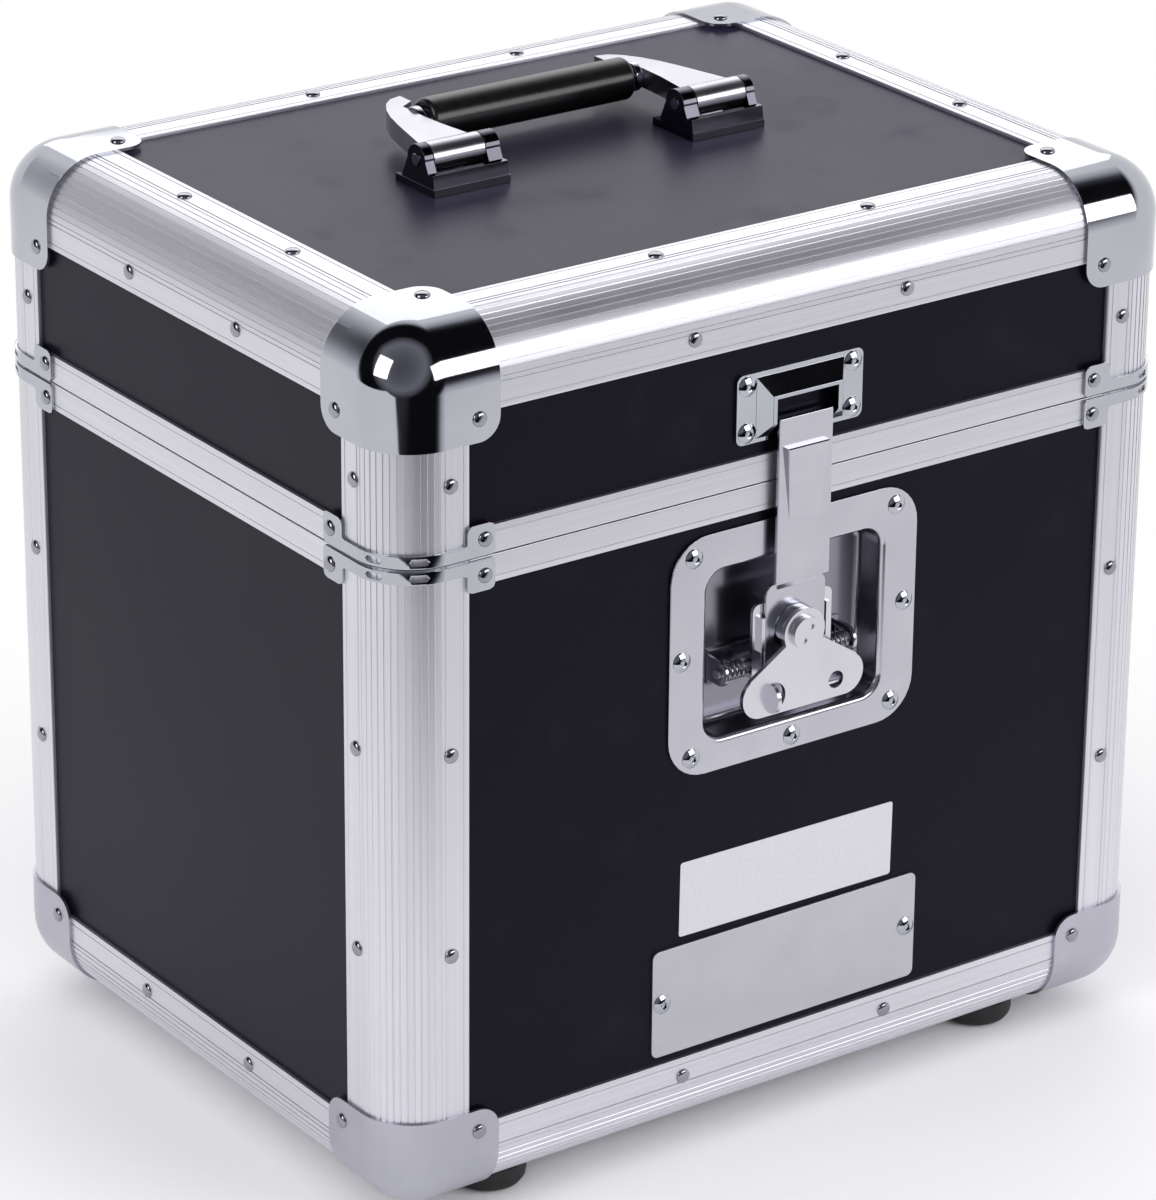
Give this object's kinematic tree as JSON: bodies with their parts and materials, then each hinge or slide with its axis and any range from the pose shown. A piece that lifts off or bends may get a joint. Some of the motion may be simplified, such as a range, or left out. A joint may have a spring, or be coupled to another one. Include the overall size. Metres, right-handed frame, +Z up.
{
  "type": "record carrying case",
  "caption": "Upright record case of black panels in aluminium edge extrusions, with ball corners, recessed butterfly latch, back-hinged lid and folding top handle.",
  "frame": {"origin": "on the ground, under the middle of the case", "axes": "+Z up, -Y towards the latch, +X to the right of someone who faces the latch"},
  "size_m": [0.367, 0.2989, 0.3794],
  "materials": {
    "laminated_ply": "black laminate over plywood, satin",
    "edge_aluminium": "satin, drawn lengthwise",
    "ball_zinc": "satin nickel plate",
    "corner_chrome": "polished",
    "rivet_steel": "plated",
    "foot_rubber": "moulded",
    "lining_foam": "closed-cell foam",
    "plate_aluminium": "satin, blank",
    "latch_plate": "bright zinc plate",
    "latch_chrome": "polished",
    "spring_steel": "drawn wire",
    "hinge_steel": "zinc plated",
    "handle_chrome": "polished die casting",
    "grip_plastic": "gloss black sleeve"
  },
  "bodies": {
    "case": {"base_panel_front": "laminated_ply", "base_panel_back": "laminated_ply", "base_panel_left": "laminated_ply", "base_panel_right": "laminated_ply", "base_panel_bottom": "laminated_ply", "base_upright_front_left": "edge_aluminium", "base_upright_front_right": "edge_aluminium", "base_upright_back_left": "edge_aluminium", "base_upright_back_right": "edge_aluminium", "bottom_edge_front": "edge_aluminium", "bottom_edge_back": "edge_aluminium", "bottom_edges_side": "edge_aluminium", "base_rim_front": "edge_aluminium", "base_rim_back": "edge_aluminium", "base_rims_side": "edge_aluminium", "ball_corners_bottom": "ball_zinc", "rim_braces_base": "corner_chrome", "rivets_base": "rivet_steel", "blind_rivets_base": "rivet_steel", "feet": "foot_rubber", "base_foam": "lining_foam", "nameplate": "plate_aluminium", "hinge_leaves_base": "hinge_steel", "hinge_pins": "hinge_steel", "latch_dish": "latch_plate", "latch_saddle": "latch_plate", "latch_swing_pin": "latch_chrome", "latch_springs": "spring_steel"},
    "lid": {"lid_panel_front": "laminated_ply", "lid_panel_back": "laminated_ply", "lid_panel_left": "laminated_ply", "lid_panel_right": "laminated_ply", "lid_panel_top": "laminated_ply", "lid_upright_front_left": "edge_aluminium", "lid_upright_front_right": "edge_aluminium", "lid_upright_back_left": "edge_aluminium", "lid_upright_back_right": "edge_aluminium", "top_edge_front": "edge_aluminium", "top_edge_back": "edge_aluminium", "top_edges_side": "edge_aluminium", "lid_rim_front": "edge_aluminium", "lid_rim_back": "edge_aluminium", "lid_rims_side": "edge_aluminium", "ball_corners_top": "corner_chrome", "rim_braces_lid": "corner_chrome", "rivets_lid": "rivet_steel", "blind_rivets_lid": "rivet_steel", "lid_foam": "lining_foam", "hinge_leaves_lid": "hinge_steel", "latch_keeper": "latch_chrome", "handle_brackets": "handle_chrome", "handle_pins": "handle_chrome"},
    "handle": {"handle_arms": "handle_chrome", "handle_core": "handle_chrome", "handle_grip": "grip_plastic"},
    "latch_carrier_body": {"latch_carrier": "latch_plate"},
    "latch_wing_body": {"latch_wing": "latch_plate", "latch_cam": "latch_chrome", "latch_spindle": "latch_chrome"},
    "latch_hook_body": {"latch_hook": "latch_plate"}
  },
  "joints": [
    {"name": "lid_hinge", "type": "hinge", "parent": "case", "child": "lid", "pos_m": [0, 0.1436, 0.273], "axis": [-1, 0, 0], "range_deg": [0, 100]},
    {"name": "handle_pivot", "type": "hinge", "parent": "lid", "child": "handle", "pos_m": [0, -0.001, 0.37135], "axis": [1, 0, 0], "range_deg": [0, 90]},
    {"name": "latch_swing", "type": "hinge", "parent": "case", "child": "latch_carrier_body", "pos_m": [0, -0.134, 0.197], "axis": [1, 0, 0], "range_deg": [0, 45]},
    {"name": "latch_turn", "type": "hinge", "parent": "latch_carrier_body", "child": "latch_wing_body", "pos_m": [0, -0.14, 0.211], "axis": [0, -1, 0], "range_deg": [0, 180]},
    {"name": "hook_lift", "type": "slide", "parent": "latch_carrier_body", "child": "latch_hook_body", "axis": [0, 0, 1], "range_m": [0, 0.006]}
  ],
  "couplings": [
    {"joint": "hook_lift", "follows": "latch_turn", "m_per_rad": 0.0019099}
  ]
}
